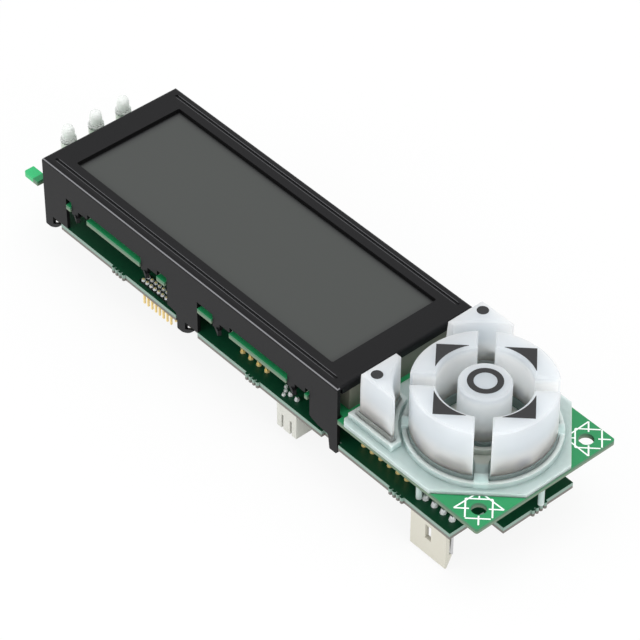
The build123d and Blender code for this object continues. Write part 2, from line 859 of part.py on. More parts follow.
# Side connector
side_y0 = near_y + side_inset
side_bottom = lower_bottom - side_h
with BuildPart() as side_connector:
    box_at(side_cx - side_w / 2, side_cx + side_w / 2, side_y0, side_y0 + side_d, side_bottom, lower_bottom)
    with BuildSketch(Plane.XY.offset(side_bottom)):
        with Locations((side_cx, side_y0 + side_d / 2)):
            Rectangle(side_w - 2 * side_wall, side_d - 2 * side_wall)
    extrude(amount=side_h - side_floor, mode=Mode.SUBTRACT)
    # two key slots in the outer wall
    slot_top = lower_bottom - side_slot_start
    for s in (-1, 1):
        x0 = side_cx + s * side_slot_offset - side_slot_w / 2
        box_at(x0, x0 + side_slot_w, near_y, side_y0 + side_wall, side_bottom, slot_top, Mode.SUBTRACT)
    with BuildSketch(Plane.XY.offset(lower_bottom - side_floor)):
        with Locations(*side_places):
            Rectangle(side_pin_w, side_pin_w)
    extrude(amount=side_floor, mode=Mode.SUBTRACT)
finish(side_connector, "side_connector_housing")

with BuildPart() as side_pins:
    pins(side_places, side_pin_w, side_bottom + side_pin_gap, lower_top + solder_h)
finish(side_pins, "side_connector_pins")


# Lock header
lock_w = lock_count * pitch
lock_cx = (lock_places[0][0] + lock_places[-1][0]) / 2 + lock_shift
lock_y0 = near_y + lock_inset
lock_bottom = lower_bottom - lock_h
with BuildPart() as lock_header:
    with BuildSketch(Plane.YZ.offset(lock_cx - lock_w / 2)):
        with BuildLine():
            Polyline(
                (lock_y0, lower_bottom),
                (lock_y0, lock_bottom),
                (lock_y0 + lock_tip_t, lock_bottom),
                (lock_y0 + lock_wall + lock_ramp, lock_bottom + lock_ramp_start),
                (lock_y0 + lock_wall + lock_ramp, lock_bottom + (lock_ramp_start + lock_ramp_end) / 2),
                (lock_y0 + lock_wall, lock_bottom + lock_ramp_end),
                (lock_y0 + lock_wall, lower_bottom - lock_base),
                (lock_y0 + lock_d, lower_bottom - lock_base),
                (lock_y0 + lock_d, lower_bottom),
                close=True,
            )
        make_face()
    extrude(amount=lock_w)
    slot_x0 = lock_cx - lock_slot_w / 2
    slot_x1 = lock_cx + lock_slot_w / 2
    slot_z0 = lower_bottom - lock_slot_depth
    slot_z1 = lower_bottom - lock_base
    box_at(slot_x0, slot_x1, near_y, lock_y0 + lock_wall, slot_z0, slot_z1, Mode.SUBTRACT)
    with BuildSketch(Plane.XY.offset(lower_bottom - lock_base)):
        with Locations(*lock_places):
            Rectangle(pin_w, pin_w)
    extrude(amount=lock_base, mode=Mode.SUBTRACT)
finish(lock_header, "lock_header_housing")

with BuildPart() as lock_pins:
    pins(lock_places, pin_w, lock_bottom + lock_pin_gap, lower_top + solder_h + pin_past_solder)
finish(lock_pins, "lock_header_pins")


# Solder fillets round the pins on the lower board's upper face
def solder_cones(places, radius, height, bore):
    """Cones of solder, each with a square way for its pin."""
    with BuildSketch(Plane.XY.offset(lower_top)) as feet:
        with Locations(*places):
            RegularPolygon(radius, solder_sides)
    extrude(feet.sketch, amount=height, taper=solder_slope)
    if bore:
        with BuildSketch(Plane.XY.offset(lower_top)) as bores:
            with Locations(*places):
                Rectangle(bore, bore)
        extrude(bores.sketch, amount=height, mode=Mode.SUBTRACT)


spare_places = [(side_places[0][0] + dx, side_places[0][1] + dy) for dx, dy in side_spare_steps]
with BuildPart() as solder_joints:
    solder_cones(lock_places, solder_r, solder_h, pin_w)
    solder_cones(side_places, side_solder_r, side_solder_h, side_pin_w)
    solder_cones(spare_places, spare_solder_r, spare_solder_h, 0)
finish(solder_joints, "solder_joints")

with BuildPart() as fine_solder:
    solder_cones(fine_places, fine_solder_r, fine_solder_h, fine_pin_w)
finish(fine_solder, "fine_solder_joints")


# Chips on the faces that look at each other between the boards
with BuildPart() as controller_chip:
    with BuildSketch(Plane.XY.offset(lower_top + chip_off)):
        with Locations((bezel_cx + controller_x, controller_y)):
            Rectangle(chip_side, chip_side)
    extrude(amount=chip_h)
finish(controller_chip, "controller_chip")

with BuildPart() as controller_leads:
    lead_reach = (chip_side + chip_lead_l) / 2
    with BuildSketch(Plane.XY.offset(lower_top)):
        with Locations((bezel_cx + controller_x, controller_y)):
            for s in (-1, 1):
                with Locations((0, s * lead_reach)):
                    with GridLocations(chip_lead_pitch, chip_lead_pitch, chip_lead_count, 1):
                        Rectangle(chip_lead_w, chip_lead_l)
                with Locations((s * lead_reach, 0)):
                    with GridLocations(chip_lead_pitch, chip_lead_pitch, 1, chip_lead_count):
                        Rectangle(chip_lead_l, chip_lead_w)
    extrude(amount=chip_lead_h)
finish(controller_leads, "controller_leads")

with BuildPart() as driver_chips:
    with BuildSketch(Plane.XY.offset(-board_t)):
        with Locations(*[(bezel_cx + x, 0) for x in driver_xs]):
            Rectangle(chip_side, chip_side)
    extrude(amount=-chip_h)
finish(driver_chips, "driver_chips")

with BuildPart() as memory_chips:
    with BuildSketch(Plane.XY.offset(lower_top)):
        with Locations(*[(bezel_cx + x, memory_y) for x in memory_xs]):
            Rectangle(memory_l, memory_w)
    extrude(amount=memory_h)
finish(memory_chips, "memory_chips")

with BuildPart() as supply_capacitors:
    with BuildSketch(Plane.XY.offset(lower_top)):
        with Locations(*[(bezel_cx + capacitor_x, y) for y in capacitor_ys]):
            Rectangle(capacitor_l, capacitor_w)
    extrude(amount=capacitor_h)
finish(supply_capacitors, "supply_capacitors")
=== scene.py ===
# %% [markdown]
# # A display module with a keypad
# The real object is a flat liquid crystal display held in a folded black bezel, on two green circuit
# boards. Three small lamps stand at one end and a milky silicone keypad at the other. The rigid pieces
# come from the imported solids. This lesson gives them their finishes and adds what a solid can't carry:
# printed marks on the keys and the board, and the thin rubber webs round the keys.

# %% Load the solids and remember their box
import math

import bpy
import numpy as np
from mathutils import Matrix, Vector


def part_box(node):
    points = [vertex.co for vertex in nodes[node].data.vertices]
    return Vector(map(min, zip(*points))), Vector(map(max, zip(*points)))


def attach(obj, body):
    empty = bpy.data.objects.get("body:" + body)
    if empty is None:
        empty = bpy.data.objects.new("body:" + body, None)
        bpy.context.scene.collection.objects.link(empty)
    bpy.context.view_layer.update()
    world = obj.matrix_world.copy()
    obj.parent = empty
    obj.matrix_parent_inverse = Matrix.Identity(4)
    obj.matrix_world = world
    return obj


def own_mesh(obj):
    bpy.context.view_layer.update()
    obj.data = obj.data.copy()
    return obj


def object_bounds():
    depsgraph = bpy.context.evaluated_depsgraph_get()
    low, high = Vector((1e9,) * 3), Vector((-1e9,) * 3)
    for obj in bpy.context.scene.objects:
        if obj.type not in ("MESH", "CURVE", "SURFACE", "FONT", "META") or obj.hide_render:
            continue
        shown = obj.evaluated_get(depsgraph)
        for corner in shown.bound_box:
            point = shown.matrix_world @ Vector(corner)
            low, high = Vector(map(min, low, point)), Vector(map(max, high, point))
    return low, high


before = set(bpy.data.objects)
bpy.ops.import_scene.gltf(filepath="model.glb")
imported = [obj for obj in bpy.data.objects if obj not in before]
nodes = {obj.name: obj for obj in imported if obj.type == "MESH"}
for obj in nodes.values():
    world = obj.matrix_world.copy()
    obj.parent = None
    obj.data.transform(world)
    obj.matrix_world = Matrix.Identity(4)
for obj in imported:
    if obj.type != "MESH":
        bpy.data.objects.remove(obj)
solid_low, solid_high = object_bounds()
MM = 0.001
print("solids:", len(nodes), "box low", tuple(solid_low), "high", tuple(solid_high))

# %% [markdown]
# ## Colours as they are seen
# Colours are read off a picture as 0 to 255 numbers, which are not amounts of light. Blender mixes
# light, so each number goes through the screen's curve once, in one helper, and every finish below is
# written in the numbers that the eye would pick.

# %% Screen colour to light
def tone(red, green, blue):
    """Light amounts for a screen colour: a straight line near black, then a power of 2.4."""
    screen = np.array([red, green, blue], dtype=float) / 255.0
    light = np.where(screen <= 0.04045, screen / 12.92, ((screen + 0.055) / 1.055) ** 2.4)
    return (*[float(c) for c in light], 1.0)


print("a screen grey of 128 sends", round(tone(128, 128, 128)[0], 3), "of full light")

# %% [markdown]
# ## One group for the small unevenness that every finish has
# Paint, rubber and plastic are never one flat colour: the colour drifts in clouds, and the surface has
# a grain. Each material could draw its own noise, but one node group with named inputs keeps them
# alike and lets each finish set its own sizes. First come a few short helpers that build the nodes.

# %% Node helpers
MIX_FACTOR, MIX_FIRST, MIX_SECOND, MIX_COLOUR = 0, 6, 7, 2


def feed(tree, value, socket):
    """Give an input its value: a link where the value is a socket, else the plain number or colour."""
    if isinstance(value, bpy.types.NodeSocket):
        tree.links.new(value, socket)
    else:
        socket.default_value = value


def put(tree, kind, **values):
    """A node of the given kind, with its properties or inputs set by name."""
    node = tree.nodes.new(kind)
    for key, value in values.items():
        if key in node.bl_rna.properties:
            setattr(node, key, value)
        else:
            feed(tree, value, node.inputs[key.replace("_", " ")])
    return node


def maths(tree, operation, *values):
    """One arithmetic step on sockets or plain numbers, as a socket."""
    node = put(tree, "ShaderNodeMath", operation=operation)
    for socket, value in zip(node.inputs, values):
        feed(tree, value, socket)
    return node.outputs[0]


def mix_colours(tree, factor, first, second):
    """A colour between two: one minus the factor times the first, plus the factor times the second."""
    mix = put(tree, "ShaderNodeMix", data_type="RGBA")
    for place, value in ((MIX_FACTOR, factor), (MIX_FIRST, first), (MIX_SECOND, second)):
        feed(tree, value, mix.inputs[place])
    return mix.outputs[MIX_COLOUR]


def new_group(name, inputs, outputs):
    """An empty shader group with the sockets named, and its two end nodes."""
    group = bpy.data.node_groups.new(name, "ShaderNodeTree")
    for title, kind, default in inputs:
        socket = group.interface.new_socket(name=title, in_out="INPUT", socket_type=kind)
        if default is not None:
            socket.default_value = default
    for title, kind in outputs:
        group.interface.new_socket(name=title, in_out="OUTPUT", socket_type=kind)
    return group, group.nodes.new("NodeGroupInput"), group.nodes.new("NodeGroupOutput")


print("a colour mix takes its two colours at inputs", MIX_FIRST, "and", MIX_SECOND)

# %% [markdown]
# The group itself is two noises at the same place, a coarse one for the clouds and a fine one for the
# grain. Its inputs carry the place and the two scales.

# %% Cloud and grain group
unevenness, ends_in, ends_out = new_group(
    "unevenness",
    [("Place", "NodeSocketVector", None), ("Cloud Scale", "NodeSocketFloat", 60.0),
     ("Grain Scale", "NodeSocketFloat", 2500.0)],
    [("Cloud", "NodeSocketFloat"), ("Grain", "NodeSocketFloat")],
)
for title, detail, roughness in (("Cloud", 3.0, 0.55), ("Grain", 2.0, 0.6)):
    noise = put(unevenness, "ShaderNodeTexNoise", Detail=detail, Roughness=roughness,
                Vector=ends_in.outputs["Place"], Scale=ends_in.outputs[title + " Scale"])
    feed(unevenness, noise.outputs["Fac"], ends_out.inputs[title])
print("group", unevenness.name, "has", len(unevenness.nodes), "nodes")

# %% [markdown]
# ## A finish is a base colour, its drift and its grain
# With the group at hand, a whole material is one call. Values that don't vary over the surface, such
# as how much metal it has, are set straight on the shader.

# %% Finish and dress
relief_depth = 0.1 * MM


def finish(name, colour, drift=0.08, roughness=0.45, spread=0.1, cloud_scale=60.0, grain_scale=2500.0,
           bump=0.05, **sockets):
    """A material whose colour runs from one minus the drift to one plus the drift times itself with the
    cloud, and whose roughness runs half the spread to either side with the grain."""
    material = bpy.data.materials.new(name)
    material.use_nodes = True
    tree = material.node_tree
    shader = tree.nodes["Principled BSDF"]
    place = tree.nodes.new("ShaderNodeTexCoord")
    uneven = put(tree, "ShaderNodeGroup", node_tree=unevenness, Place=place.outputs["Object"],
                 Cloud_Scale=cloud_scale, Grain_Scale=grain_scale)
    dark = [c * (1 - drift) for c in colour[:3]] + [1.0]
    light = [min(1.0, c * (1 + drift)) for c in colour[:3]] + [1.0]
    feed(tree, mix_colours(tree, uneven.outputs["Cloud"], dark, light), shader.inputs["Base Color"])
    rough = put(tree, "ShaderNodeMapRange", Value=uneven.outputs["Grain"],
                To_Min=roughness - spread / 2, To_Max=roughness + spread / 2)
    feed(tree, rough.outputs["Result"], shader.inputs["Roughness"])
    if bump:
        relief = put(tree, "ShaderNodeBump", Strength=bump, Distance=relief_depth,
                     Height=uneven.outputs["Grain"])
        feed(tree, relief.outputs["Normal"], shader.inputs["Normal"])
    for key, value in sockets.items():
        shader.inputs[key.replace("_", " ")].default_value = value
    return material


def dress(material, *names):
    """Give carried-over solids one material."""
    for name in names:
        slots = nodes[name].data.materials
        slots.clear()
        slots.append(material)


print("relief under a grain of one:", relief_depth, "m")

# %% [markdown]
# ## Lines and zones inside a finish
# Pale lines of painted highlight run along the bezel's bend, the rubber has painted light on its
# collars, inner sides and feet, and painted shade dims the display under the rim of its window. All of
# these are bands: places where one coordinate lies near a given value.
# One group draws a soft band, and products of bands mark out any zone.

# %% Band group and the helpers that use it
band, ends_in, ends_out = new_group(
    "band",
    [("Value", "NodeSocketFloat", 0.0), ("Middle", "NodeSocketFloat", 0.0),
     ("Half Width", "NodeSocketFloat", 0.001), ("Softness", "NodeSocketFloat", 0.5)],
    [("Mask", "NodeSocketFloat")],
)
offset = maths(band, "SUBTRACT", ends_in.outputs["Value"], ends_in.outputs["Middle"])
hard = maths(band, "SUBTRACT", 1.0, ends_in.outputs["Softness"])
core = maths(band, "MULTIPLY", hard, ends_in.outputs["Half Width"])
fall = put(band, "ShaderNodeMapRange", interpolation_type="SMOOTHSTEP", To_Min=1.0, To_Max=0.0,
           Value=maths(band, "ABSOLUTE", offset), From_Min=core, From_Max=ends_in.outputs["Half Width"])
feed(band, fall.outputs["Result"], ends_out.inputs["Mask"])


def coordinate(tree, axis, mirrored=False):
    """One object coordinate as a socket, or its size where mirrored."""
    place = tree.nodes.new("ShaderNodeTexCoord")
    split = put(tree, "ShaderNodeSeparateXYZ", Vector=place.outputs["Object"])
    return maths(tree, "ABSOLUTE", split.outputs[axis]) if mirrored else split.outputs[axis]


def axis_distance(tree, middle_x):
    """Distance from the upright axis through (middle_x, 0): Z is multiplied by nought before measuring."""
    place = tree.nodes.new("ShaderNodeTexCoord")
    flat = put(tree, "ShaderNodeVectorMath", operation="MULTIPLY")
    feed(tree, place.outputs["Object"], flat.inputs[0])
    feed(tree, (1, 1, 0), flat.inputs[1])
    apart = put(tree, "ShaderNodeVectorMath", operation="DISTANCE")
    feed(tree, flat.outputs["Vector"], apart.inputs[0])
    feed(tree, (middle_x, 0, 0), apart.inputs[1])
    return apart.outputs["Value"]


def paint_over(material, mask, colour):
    """Blend a colour over a finish by the mask: what fed the base colour before becomes the first of two."""
    tree = material.node_tree
    base = tree.nodes["Principled BSDF"].inputs["Base Color"]
    feed(tree, mix_colours(tree, mask, base.links[0].from_socket, colour), base)


def zone(material, colour, strength, *bands):
    """Blend a colour in where all bands agree: the mask is the product of the bands, times the strength."""
    tree = material.node_tree
    mask = strength
    for source, middle, half, softness in bands:
        part = put(tree, "ShaderNodeGroup", node_tree=band, Value=source, Middle=middle,
                   Half_Width=half, Softness=softness)
        mask = maths(tree, "MULTIPLY", part.outputs["Mask"], mask)
    paint_over(material, mask, colour)


print("group", band.name, "has", len(band.nodes), "nodes")

# %% [markdown]
# ## Camera
# The picture was taken with a long lens from well above, so the camera stands far off with a narrow
# view. Its place and its three axes were fitted to the straight edges of the boards and the bezel.

# %% Camera
camera_place = (0.300528, -0.320926, 0.440402)
camera_right = np.array([0.659802, 0.751433, 0.003026])
camera_up = np.array([-0.508461, 0.443486, 0.738097])


def add(name, data):
    """A new object in the scene that shows a mesh, a lamp or a camera."""
    piece = bpy.data.objects.new(name, data)
    bpy.context.collection.objects.link(piece)
    return piece


def stand(piece, place, right, up, back):
    """Put a camera or lamp at a place, its own X, Y and Z axes along the three directions given."""
    rows = [(right[row], up[row], back[row], place[row]) for row in range(3)]
    piece.matrix_world = Matrix([*rows, (0, 0, 0, 1)])


eye = bpy.data.cameras.new("eye")
eye.lens = 179.06
eye.sensor_width = 36.0
eye.clip_start = 0.01
eye.clip_end = 20.0
camera = add("camera", eye)
stand(camera, camera_place, camera_right, camera_up, np.cross(camera_right, camera_up))
bpy.context.scene.camera = camera
camera_range = float(np.linalg.norm(camera_place))
print("camera", round(camera_range, 3), "m from the origin, lens", round(eye.lens, 2), "mm")

# %% [markdown]
# ## Light
# The lamps are broad and soft: one low in front, which lights the bezel's bent edge along its painted
# highlight, one from the keypad end and one above. The floor is pale paper. Seen straight on or in a
# mirror it glows near white, so that the background is white without flooding the object.

# %% Lamps, world and floor
lamp_target = np.array([-0.06, 0.0, 0.0])
world_strength = 0.78
floor_half = 4
floor_gap = 0.5 * MM
floor_white = 0.86
floor_glow_share = 0.88


def softbox(name, place, size, watts):
    """A square lamp turned to face the target: its side is the aim crossed with straight up."""
    lamp = bpy.data.lights.new(name, "AREA")
    lamp.size = size
    lamp.energy = watts
    aim = lamp_target - np.array(place)
    aim = aim / np.linalg.norm(aim)
    side = np.cross(aim, [0, 0, 1])
    side = side / np.linalg.norm(side)
    stand(add(name, lamp), place, side, np.cross(side, aim), -aim)


softbox("front_box", (-0.30, -0.80, 0.30), 0.6, 2.4)
softbox("end_box", (0.85, -0.15, 0.35), 0.5, 2.3)
softbox("top_box", (0.05, 0.1, 1.0), 0.6, 3.4)

world = bpy.data.worlds.new("room")
bpy.context.scene.world = world
world.use_nodes = True
world.node_tree.nodes["Background"].inputs["Color"].default_value = (1, 1, 1, 1)
world.node_tree.nodes["Background"].inputs["Strength"].default_value = world_strength

floor_z = solid_low[2] - floor_gap
floor_mesh = bpy.data.meshes.new("floor")
floor_corners = [(x * floor_half, y * floor_half, floor_z) for x, y in ((-1, -1), (1, -1), (1, 1), (-1, 1))]
floor_mesh.from_pydata(floor_corners, [], [(0, 1, 2, 3)])
floor = add("floor", floor_mesh)
paper = bpy.data.materials.new("paper")
paper.use_nodes = True
tree = paper.node_tree
matt = tree.nodes["Principled BSDF"]
matt.inputs["Base Color"].default_value = (floor_white, floor_white, floor_white, 1)
matt.inputs["Roughness"].default_value = 0.9
matt.inputs["Specular IOR Level"].default_value = 0.0
glow = put(tree, "ShaderNodeEmission", Strength=1.0)
ray = tree.nodes.new("ShaderNodeLightPath")
seen = maths(tree, "MAXIMUM", ray.outputs["Is Camera Ray"], ray.outputs["Is Glossy Ray"])
seen = maths(tree, "MAXIMUM", seen, ray.outputs["Is Transmission Ray"])
blend = tree.nodes.new("ShaderNodeMixShader")
feed(tree, maths(tree, "MULTIPLY", seen, floor_glow_share), blend.inputs[0])
feed(tree, matt.outputs[0], blend.inputs[1])
feed(tree, glow.outputs[0], blend.inputs[2])
feed(tree, blend.outputs[0], tree.nodes["Material Output"].inputs["Surface"])
floor_mesh.materials.append(paper)

bpy.context.scene.view_settings.view_transform = "Standard"
print("lamps:", len(bpy.data.lights), "floor at", round(float(floor_z), 5))

# %% [markdown]
# ## Painted steel, glass and films
# The bezel is thin steel under satin black paint. Its sides look lighter than its top because they
# mirror the pale floor, so the paint needs a little gloss and a very dark colour, not a grey. Thin
# pale lines of painted highlight mark the bent edge and the two sides of each pressed bead, and the
# window's cut edge is painted deep black, as painted shade.

# %% Bezel finish
steel_low, steel_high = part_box("bezel")
film_low, film_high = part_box("front_polariser")
bezel_x = (steel_low[0] + steel_high[0]) / 2
half_length = (steel_high[0] - steel_low[0]) / 2
window_half_l = 41.3 * MM
window_half_w = 14.3 * MM
bend_z, bend_half = 7.52 * MM, 0.16 * MM
side_y, side_half = 18.3 * MM, 0.6 * MM
bead_sides, bead_half = (16.12 * MM, 16.88 * MM), 0.1 * MM
bead_short = 2.6 * MM
face_z, face_half = 7.95 * MM, 0.2 * MM
cut_z, cut_half = 7.45 * MM, 0.42 * MM

black_paint = finish("black_paint", tone(18, 18, 20), drift=0.06, roughness=0.5, spread=0.08,
                     cloud_scale=25, grain_scale=4000, bump=0.12, Specular_IOR_Level=0.21)
tree = black_paint.node_tree
along, aside, height = coordinate(tree, "X"), coordinate(tree, "Y", mirrored=True), coordinate(tree, "Z")
# Painted highlight: pale lines along the bent edge and along both sides of each bead
painted_highlight = tone(150, 150, 154)
zone(black_paint, painted_highlight, 0.7, (height, bend_z, bend_half, 0.6), (aside, side_y, side_half, 0.1))
for line in bead_sides:
    zone(black_paint, painted_highlight, 0.35, (aside, line, bead_half, 0.6),
         (along, bezel_x, half_length - bead_short, 0.02), (height, face_z, face_half, 0.1))
# Painted shade: the window's cut edge is painted near black
zone(black_paint, tone(6, 6, 7), 0.95, (height, cut_z, cut_half, 0.05),
     (along, bezel_x, window_half_l, 0.002), (aside, 0.0, window_half_w, 0.005))
dress(black_paint, "bezel")
print("bezel from", tuple(steel_low), "to", tuple(steel_high))

# %% [markdown]
# The film over the display is an even dark grey. Under the window's rim a soft painted shade lies on
# it, wide on the sides that face away from the light, and a thin black line of painted shadow runs
# along two of those sides.

# %% Display finishes
film = finish("film", tone(61, 64, 62), drift=0.03, roughness=0.3, spread=0.04, cloud_scale=12,
              grain_scale=6000, bump=0.01)
tree = film.node_tree
along, across = coordinate(tree, "X"), coordinate(tree, "Y")
rim_shade = tone(36, 36, 38)
rim_shadow_line = tone(8, 8, 9)
end_line_half, side_line_half = 0.75 * MM, 0.6 * MM
lamp_rim, keypad_rim = bezel_x - window_half_l, bezel_x + window_half_l
# Painted shade: a soft dark band under each side of the window's rim
for source, rim, strength, half in (
    (along, lamp_rim, 0.8, 2.6), (across, window_half_w, 0.8, 2.2),
    (across, -window_half_w, 0.6, 1.2), (along, keypad_rim, 0.5, 2.4),
):
    zone(film, rim_shade, strength, (source, rim, half * MM, 0.9))
# Painted shadow: thin black lines along the lamp end and the far side of the window
zone(film, rim_shadow_line, 1.0, (along, lamp_rim, end_line_half, 0.3))
zone(film, rim_shadow_line, 1.0, (across, window_half_w, side_line_half, 0.3))
glass = finish("display_glass", tone(200, 212, 208), drift=0.01, roughness=0.05, spread=0.02, bump=0.0,
               Transmission_Weight=0.7)
# The backlight frame is white plastic, given a dim grey as painted shade for the dark space behind the
# bezel's end
shaded_white_plastic = finish("shaded_white_plastic", tone(118, 118, 106), drift=0.03, roughness=0.5)
clear_plastic = finish("clear_plastic", tone(210, 216, 214), drift=0.02, roughness=0.2, bump=0.0,
                       Transmission_Weight=0.5)
strip_rubber = finish("strip_rubber", tone(120, 120, 118), drift=0.1, roughness=0.7)
dress(film, "front_polariser", "rear_polariser")
dress(glass, "upper_glass", "lower_glass")
dress(shaded_white_plastic, "backlight_frame")
dress(clear_plastic, "light_guide")
dress(strip_rubber, "contact_strip_near", "contact_strip_far")
print("film from", tuple(film_low), "to", tuple(film_high))

# %% [markdown]
# ## Circuit boards
# A board is a pale laminate with a thin green lacquer on its two faces only. The cut edges show the
# laminate as two bands, one above the other. One group tells face from edge by how level the surface
# lies, and splits the edge by height, so both boards share it with their own colours.

# %% Board finish
edge_level = 0.5
laminate, ends_in, ends_out = new_group(
    "laminate",
    [("Face", "NodeSocketColor", None), ("Upper Edge", "NodeSocketColor", None),
     ("Lower Edge", "NodeSocketColor", None), ("Split Height", "NodeSocketFloat", 0.0)],
    [("Colour", "NodeSocketColor")],
)
surface = laminate.nodes.new("ShaderNodeNewGeometry")
lean = put(laminate, "ShaderNodeSeparateXYZ", Vector=surface.outputs["Normal"])
is_edge = maths(laminate, "LESS_THAN", maths(laminate, "ABSOLUTE", lean.outputs["Z"]), edge_level)
is_upper = maths(laminate, "GREATER_THAN", coordinate(laminate, "Z"), ends_in.outputs["Split Height"])
edge = mix_colours(laminate, is_upper, ends_in.outputs["Lower Edge"], ends_in.outputs["Upper Edge"])
feed(laminate, mix_colours(laminate, is_edge, ends_in.outputs["Face"], edge), ends_out.inputs["Colour"])


def board_finish(name, face, upper, lower, split, drift):
    """Lacquered laminate: the green drifts, and the cut edge changes colour at the split height."""
    material = finish(name, face, drift=drift, roughness=0.42, cloud_scale=45, grain_scale=3000, bump=0.06)
    tree = material.node_tree
    base = tree.nodes["Principled BSDF"].inputs["Base Color"]
    bands = put(tree, "ShaderNodeGroup", node_tree=laminate, Face=base.links[0].from_socket,
                Upper_Edge=upper, Lower_Edge=lower, Split_Height=split)
    feed(tree, bands.outputs["Colour"], base)
    return material


def between(low, high, share=0.5):
    """The point a share of the way from low to high."""
    return low * (1 - share) + high * share


low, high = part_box("upper_board")
bright_board = board_finish("bright_board", tone(28, 140, 84), tone(64, 118, 86), tone(106, 126, 104),
                            between(low[2], high[2]), 0.25)
# Painted light: the board's open end by the lamps is painted a brighter green
lamp_end_half = 3.4 * MM
lit_end_band = (coordinate(bright_board.node_tree, "X"), low[0], lamp_end_half, 0.1)
zone(bright_board, tone(46, 196, 120), 0.8, lit_end_band)
low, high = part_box("lower_board")
# Painted shade: the lower board's face is a much darker green than the upper board's, for the shadow it lies
# in
shaded_board = board_finish("shaded_board", tone(8, 66, 42), tone(132, 158, 146), tone(112, 108, 102),
                          between(low[2], high[2], 0.45), 0.3)
row_low, row_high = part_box("fine_solder_joints")
row_margin = 0.6 * MM
shade_patch_bands = [
    (coordinate(shaded_board.node_tree, letter), between(row_low[axis], row_high[axis]),
     (row_high[axis] - row_low[axis]) / 2 + row_margin, softness)
    for axis, letter, softness in ((0, "X", 0.1), (1, "Y", 0.2))
]
# Painted shade: a near-black patch round the fine pins' joints, under the upper board
zone(shaded_board, tone(6, 12, 9), 0.9, *shade_patch_bands)
dress(bright_board, "upper_board")
dress(shaded_board, "lower_board")
print("black patch under the fine pins:", [round(2 * half / MM, 2) for _, _, half, _ in shade_patch_bands], "mm")

# %% [markdown]
# ## Silicone
# The keypad is milky silicone: light goes in, scatters and comes out nearby. Subsurface scattering
# gives that softness, deep in the thick keys and shallow in the mat. A soft bluish-dark spot of
# painted shade near each key's foot is drawn by distance from a point, and the inner sides of the
# keypad are painted a paler white, painted light for light that has crossed the rubber more than once.

# %% Silicone keys
spot, ends_in, ends_out = new_group(
    "spot",
    [("Place", "NodeSocketVector", None), ("Middle", "NodeSocketVector", None),
     ("Reach", "NodeSocketFloat", 0.003)],
    [("Mask", "NodeSocketFloat")],
)
apart = put(spot, "ShaderNodeVectorMath", operation="DISTANCE")
feed(spot, ends_in.outputs["Place"], apart.inputs[0])
feed(spot, ends_in.outputs["Middle"], apart.inputs[1])
nearness = put(spot, "ShaderNodeMapRange", interpolation_type="SMOOTHSTEP", To_Min=1.0, To_Max=0.0,
               Value=apart.outputs["Value"], From_Min=0.0, From_Max=ends_in.outputs["Reach"])
feed(spot, nearness.outputs["Result"], ends_out.inputs["Mask"])


def tint(material, middle, reach, colour, strength):
    """Blend a colour into a finish round one point: the mask falls from one to nought over the reach."""
    tree = material.node_tree
    place = tree.nodes.new("ShaderNodeTexCoord")
    mask = put(tree, "ShaderNodeGroup", node_tree=spot, Place=place.outputs["Object"], Middle=middle,
               Reach=reach)
    paint_over(material, maths(tree, "MULTIPLY", mask.outputs["Mask"], strength), colour)


def scatter(weight, *radius):
    """Shader values for light that spreads under the surface, with a radius for red, green and blue."""
    return dict(Subsurface_Weight=weight, Subsurface_Radius=radius, Subsurface_Scale=1.0)


silicone = scatter(1.0, 0.006, 0.0062, 0.0064)
thick_silicone = scatter(1.0, 0.025, 0.026, 0.027)
key_names = [name for name in nodes if name.startswith("key_")]
centre_low, centre_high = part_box("key_centre")
pad_x = (centre_low[0] + centre_high[0]) / 2
pad_top = centre_high[2]
key_foot = 3.2 * MM
painted_glow_half, painted_warm_glow_half = 6.5 * MM, 2.2 * MM
cavity_r, cavity_half = 9.7 * MM, 4.7 * MM
cavity_z, cavity_half_h = 7.9 * MM, 6.4 * MM
spot_z = 4.6 * MM
spot_reach = 3.2 * MM
# Where the painted shade spot lies on each ring key, in millimetres along X and Y from the keypad's middle
shade_spots = {
    "key_left": (-14.4, 2.0), "key_down": (-3.6, -14.4), "key_right": (14.4, -3.0), "key_up": (0.0, 10.5),
}
for name in key_names:
    milky = finish("milky_" + name, tone(198, 206, 215), drift=0.02, roughness=0.5, cloud_scale=90,
                   grain_scale=3000, bump=0.04, **thick_silicone)
    from_pad, height = axis_distance(milky.node_tree, pad_x), coordinate(milky.node_tree, "Z")
    cavity_share = 0.6 if name == "key_centre" else 1.0
    # Painted light: the keypad's inner sides are painted near white
    if not name.startswith("key_corner"):
        zone(milky, tone(247, 252, 255), cavity_share, (from_pad, cavity_r, cavity_half, 0.03),
             (height, cavity_z, cavity_half_h, 0.3))
    # Painted light: the feet are painted paler and warmer, a painted glow
    zone(milky, tone(250, 250, 250), 0.9, (height, key_foot, painted_glow_half, 0.9))
    zone(milky, tone(250, 240, 222), 0.8, (height, key_foot, painted_warm_glow_half, 0.9))
    pill_low, pill_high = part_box(name.replace("key", "contact_pill"))
    middle = [(a + b) / 2 for a, b in zip(pill_low, pill_high)]
    if name in shade_spots:
        spot_x, spot_y = shade_spots[name]
        middle = [pad_x + spot_x * MM, spot_y * MM, 0]
    middle[2] = spot_z
    # Painted shade: a soft bluish-dark spot near the key's foot
    tint(milky, middle, spot_reach, tone(140, 150, 190), 0.5)
    dress(milky, name)

mat_rubber = finish("mat_rubber", tone(184, 210, 207), drift=0.16, roughness=0.35, spread=0.15,
                    cloud_scale=150, grain_scale=3000, bump=0.05, **silicone)
collar_z, collar_half = 2.45 * MM, 0.25 * MM
moat_r, moat_half = 7.4 * MM, 2.4 * MM
tree = mat_rubber.node_tree
# Painted highlight: the collar tops are painted paler
zone(mat_rubber, tone(214, 228, 226), 0.6, (coordinate(tree, "Z"), collar_z, collar_half, 0.3))
